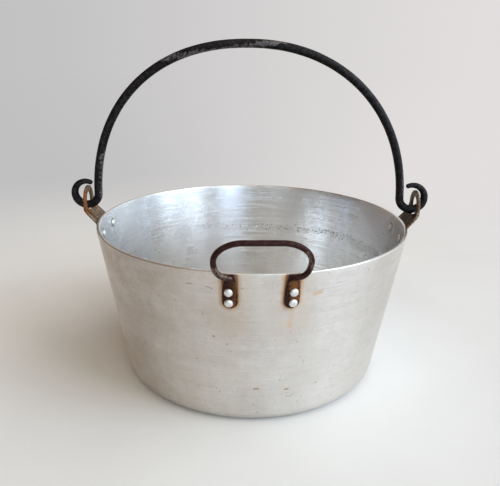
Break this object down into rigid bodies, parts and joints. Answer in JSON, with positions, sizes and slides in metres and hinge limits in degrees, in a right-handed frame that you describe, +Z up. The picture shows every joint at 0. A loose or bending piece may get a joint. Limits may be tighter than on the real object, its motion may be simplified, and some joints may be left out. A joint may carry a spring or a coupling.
{
  "type": "preserving pan",
  "caption": "Open aluminium preserving pan with a tapered wall, a swinging steel bail on riveted ears and a riveted helper handle at the front.",
  "frame": {"origin": "centre of the pan's base, on the plane it stands on", "axes": "+X to the right-hand ear, along the bail's swing axis; -Y to the front, where the helper handle is; +Z up, the pan's axis"},
  "size_m": [0.3738, 0.3286, 0.3352],
  "materials": {
    "pan_aluminium": "worn satin, fine turning marks, small pits and scratches",
    "rivet_aluminium": "bright, rubbed",
    "bail_steel": "blackened, worn to grey on its high side",
    "helper_steel": "dark brown oxide, rust at the feet",
    "ear_steel": "dull tan, orange rust in places"
  },
  "bodies": {
    "vessel": {"pan": "pan_aluminium", "ear_left": "ear_steel", "ear_right": "ear_steel", "ear_left_rivet_front": "rivet_aluminium", "ear_left_rivet_rear": "rivet_aluminium", "ear_right_rivet_front": "rivet_aluminium", "ear_right_rivet_rear": "rivet_aluminium", "helper_handle": "helper_steel", "helper_handle_rivet_left_upper": "rivet_aluminium", "helper_handle_rivet_left_lower": "rivet_aluminium", "helper_handle_rivet_right_upper": "rivet_aluminium", "helper_handle_rivet_right_lower": "rivet_aluminium"},
    "bail": {"bail": "bail_steel"}
  },
  "joints": [
    {"name": "bail_swing", "type": "hinge", "parent": "vessel", "child": "bail", "pos_m": [0, 0, 0.169], "axis": [1, 0, 0], "range_deg": [-92.7, 82.6]}
  ]
}
